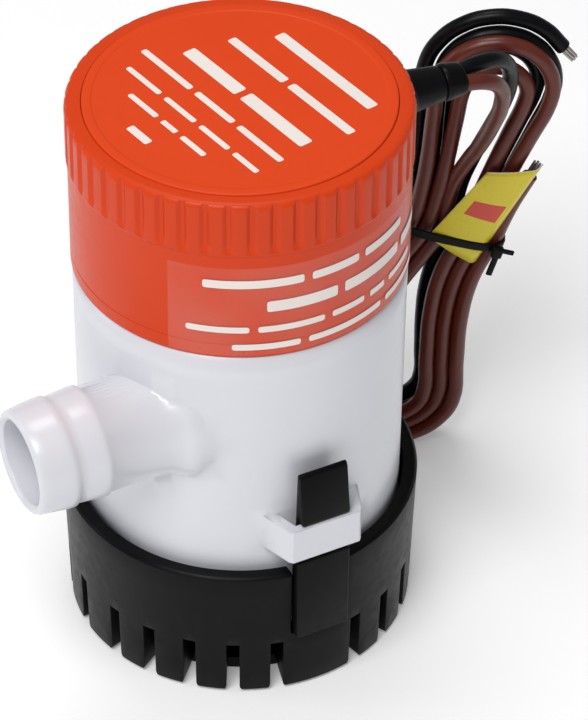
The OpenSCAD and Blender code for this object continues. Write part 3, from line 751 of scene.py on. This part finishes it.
class PUMP_OT_lid(bpy.types.Operator):
    """Turns the flat lid, with a fine step round its rim"""
    bl_idname = "pump.lid"
    bl_label = "Lid"

    def execute(self, context):
        profile = [(0, 109.25, 0), (22, 109.25, 0), (22, 107.8, 0), (25.2, 107.8, 0),
                   (25.2, 109.25, 0), (27.2, 109.25, 0), (27.2, 111.6, 0.35), (25.6, 111.6, 0.1),
                   (25.4, 111.5, 0.1), (24, 111.5, 0), (12, 111.5, 0), (0, 111.5, 0)]
        bm = turned(rounded(profile, 5), 288, closed=False)
        settle("lid_disc", bm, finish("abs_moulded_orange_satin"), "root",
               ("top_lid",), 30)
        return {"FINISHED"}


class PUMP_OT_housing(bpy.types.Operator):
    """Smooths the white housing, with its outlet, barbs and clip loops"""
    bl_idname = "pump.housing"
    bl_label = "Housing"

    def execute(self, context):
        settle("housing_shell", dressed("pump_housing", 0.0), finish("abs_moulded_white"), "root",
               ("pump_housing",), 24)
        return {"FINISHED"}


class PUMP_OT_strainer(bpy.types.Operator):
    """Rounds the strainer's teeth and rim, and the two clips"""
    bl_idname = "pump.strainer"
    bl_label = "Strainer and clips"

    def execute(self, context):
        settle("strainer_ring", dressed("strainer_base", 0.25), finish("nylon_moulded_black"),
               "root", ("strainer_base",))
        for side in ("front", "rear"):
            settle("clip_arm_" + side, dressed("clip_" + side, 0.35),
                   finish("acetal_moulded_black"), "clip_" + side,
                   ("clip_" + side,))
        return {"FINISHED"}


class PUMP_OT_boot(bpy.types.Operator):
    """Turns the tapered cable boot and the shrunk sleeve over the two leads"""
    bl_idname = "pump.boot"
    bl_label = "Cable boot"

    def execute(self, context):
        boot = [(2.2, 24.2, 0), (4.4, 24.2, 0.2), (4.4, 25.2, 0.2), (3.2, 25.2, 0),
                (3.2, 30.4, 0.2), (4.4, 30.4, 0.5), (4.4, 31.6, 0.5), (3.95, 32.2, 0.3),
                (3.6, 35, 0.5), (3.2, 38.4, 0.35), (2.2, 38.4, 0.1)]
        bm = turned(rounded(boot, 4), 64)
        bmesh.ops.transform(bm, matrix=along_boot(0), verts=bm.verts)
        settle("cable_boot_moulding", bm, finish("pvc_boot_moulded"), "root",
               ("cable_boot",))
        sleeve = [(0, 38.42, 0), (3.3, 38.42, 0.2), (3.45, 39.2, 0.4), (3.35, 41.9, 0.3),
                  (3.2, 42.5, 0.25), (0, 42.5, 0)]
        bm = turned(rounded(sleeve, 5), 64, closed=False)
        for v in bm.verts:
            pull = min(1, max(0, (v.co.z / MM - 39.2) / 3))
            v.co.x *= 1 - 0.16 * pull
        bmesh.ops.transform(bm, matrix=along_boot(0), verts=bm.verts)
        settle("shrunk_sleeve", bm, finish("polyolefin_sleeve"), "root",
               ("heat_shrink",))
        return {"FINISHED"}


# Rows of plain bars in place of lettering, in millimetres: each row's place up the print, its
# start, its bars' height, and their lengths
LID_ROWS = [
    (16.4, -10.5, 2.3, (26.4,)), (9.0, -14.5, 1.8, (15.5, 17.0)), (1.0, -16.2, 2.7, (15.0, 17.0)),
    (-5.2, -21.0, 1.3, (14.0, 10.5, 12.0)), (-10.3, -18.5, 1.1, (9.5, 8.5, 8.0, 6.5)),
    (-14.6, -12.0, 1.1, (8.0, 4.0, 6.5)), (-20.0, -4.5, 1.6, (5.6,))]
LABEL_ROWS = [
    (94.6, -6.4, 1.7, (17.5, 9.5, 11.0)), (89.6, 4.6, 2.3, (13.0, 14.5, 9.0)),
    (84.7, -9.4, 1.3, (11.0, 12.0, 7.0, 4.0, 9.0)), (80.9, -1.4, 1.3, (12.0, 16.0, 13.0))]


def printed(bm, rows, gap=1.5):
    """Adds the rows as flat rounded bars on the plane of X and Y, in millimetres."""
    for up, start, tall, lengths in rows:
        at = start
        for length in lengths:
            made = bmesh.ops.create_grid(bm, x_segments=16, y_segments=1, size=0.5 * MM)["verts"]
            bmesh.ops.scale(bm, vec=(length, tall, 1), verts=made)
            bmesh.ops.translate(bm, vec=((at + length / 2) * MM, up * MM, 0), verts=made)
            at += length + gap
    corners = [v for v in bm.verts if len(v.link_edges) == 2]
    bmesh.ops.bevel(bm, geom=corners, offset=0.45 * MM, offset_type="OFFSET", affect="VERTICES",
                    segments=3, profile=0.5, material=-1)


class PUMP_OT_lid_print(bpy.types.Operator):
    """Prints rows of plain white bars on the lid"""
    bl_idname = "pump.lid_print"
    bl_label = "Lid print"

    def execute(self, context):
        bm = bmesh.new()
        printed(bm, LID_ROWS)
        turn = Matrix.Rotation(math.radians(-53), 4, "Z")
        lift = Matrix.Translation((0, 0, 111.5 * MM + sizes().print_height))
        bmesh.ops.transform(bm, matrix=lift @ turn, verts=bm.verts)
        settle("lid_print", bm, finish("screen_ink_white"), "root")
        return {"FINISHED"}


class PUMP_OT_label(bpy.types.Operator):
    """Wraps the clear label round the cover, with rows of plain white bars"""
    bl_idname = "pump.label"
    bl_label = "Label"

    def execute(self, context):
        bm = bmesh.new()
        low, high, begin, sweep = 79.0, 98.0, math.radians(246), math.radians(200)
        outline = [(29.94, low), (30.04, low + 0.05), (30.04, high - 0.05), (29.94, high)]
        verts = [bm.verts.new((r * math.cos(begin) * MM, r * math.sin(begin) * MM, z * MM))
                 for r, z in outline]
        edges = [bm.edges.new((a, b)) for a, b in zip(verts, verts[1:])]
        bmesh.ops.spin(bm, geom=verts + edges, cent=(0, 0, 0), axis=(0, 0, 1), angle=sweep,
                       steps=140, use_merge=False)
        for f in bm.faces:
            middle = f.calc_center_median()
            if f.normal.dot(Vector((middle.x, middle.y, 0))) < 0:
                f.normal_flip()
        settle("label_sheet", bm, film_finish(), "root", ("label_film",))

        bm = bmesh.new()
        printed(bm, LABEL_ROWS)
        radius = 30.06 * MM
        for v in bm.verts:
            around, height = v.co.x / radius, v.co.y
            v.co = Vector((radius * math.sin(around), -radius * math.cos(around), height))
        settle("label_print", bm, finish("screen_ink_white"), "root")
        return {"FINISHED"}


INNER_FINISHES = {
    "inlet_cover": "abs_moulded_white", "inlet_oring": "nitrile_rubber",
    "inlet_screws": "zinc_plated_steel", "impeller": "nylon_moulded_black",
    "impeller_clip": "zinc_plated_steel", "shaft": "ground_stainless_steel",
    "shaft_seal": "nitrile_rubber", "seal_retainer": "stamped_copper",
    "motor_sleeve": "nitrile_rubber", "motor_can": "zinc_plated_steel",
    "magnets": "sintered_ferrite", "lower_bush": "sintered_bronze",
    "armature_core": "stacked_steel_sheets", "windings": "enamelled_copper_wire",
    "commutator": "stamped_copper", "end_bell": "phenolic_moulded",
    "upper_bush": "sintered_bronze", "brushes": "copper_graphite",
    "brush_arms": "stamped_copper", "motor_terminals": "stamped_copper",
    "suppressor": "epoxy_dip_ochre", "housing_oring": "nitrile_rubber",
    "inner_leads": "pvc_wire_brown"}


class PUMP_OT_inner_parts(bpy.types.Operator):
    """Gives the motor, the impeller and the seals inside their finishes"""
    bl_idname = "pump.inner_parts"
    bl_label = "Inner parts"

    def execute(self, context):
        for node, name in INNER_FINISHES.items():
            repaint(node, finish(name))
        return {"FINISHED"}


# ------------------------------------------------------------------ add-on

class PUMP_PT_finisher(bpy.types.Panel):
    """Lists the pump's pieces and the sizes they are made with"""
    bl_label = "Bilge pump"
    bl_idname = "PUMP_PT_finisher"
    bl_space_type = "VIEW_3D"
    bl_region_type = "UI"
    bl_category = "Bilge pump"

    def draw(self, context):
        for maker in MAKERS:
            self.layout.operator(maker.bl_idname)
        for group in (context.scene.pump_sizes, context.scene.pump_colours):
            for name in group.__annotations__:
                self.layout.prop(group, name)


# The camera and the leads, with the pieces on them, come first
MAKERS = (PUMP_OT_stage, PUMP_OT_boot, PUMP_OT_tie, PUMP_OT_tag, PUMP_OT_leads, PUMP_OT_cover,
          PUMP_OT_lid, PUMP_OT_lid_print, PUMP_OT_label, PUMP_OT_housing, PUMP_OT_strainer,
          PUMP_OT_inner_parts)
CLASSES = (PumpSizes, PumpColours, *MAKERS, PUMP_PT_finisher)


def register():
    for item in CLASSES:
        bpy.utils.register_class(item)
    bpy.types.Scene.pump_sizes = bpy.props.PointerProperty(type=PumpSizes)
    bpy.types.Scene.pump_colours = bpy.props.PointerProperty(type=PumpColours)


def unregister():
    del bpy.types.Scene.pump_colours
    del bpy.types.Scene.pump_sizes
    for item in reversed(CLASSES):
        bpy.utils.unregister_class(item)


def main():
    """Makes every piece in order."""
    register()
    for maker in MAKERS:
        group, name = maker.bl_idname.split(".")
        getattr(getattr(bpy.ops, group), name)()


if __name__ == "__main__":
    main()
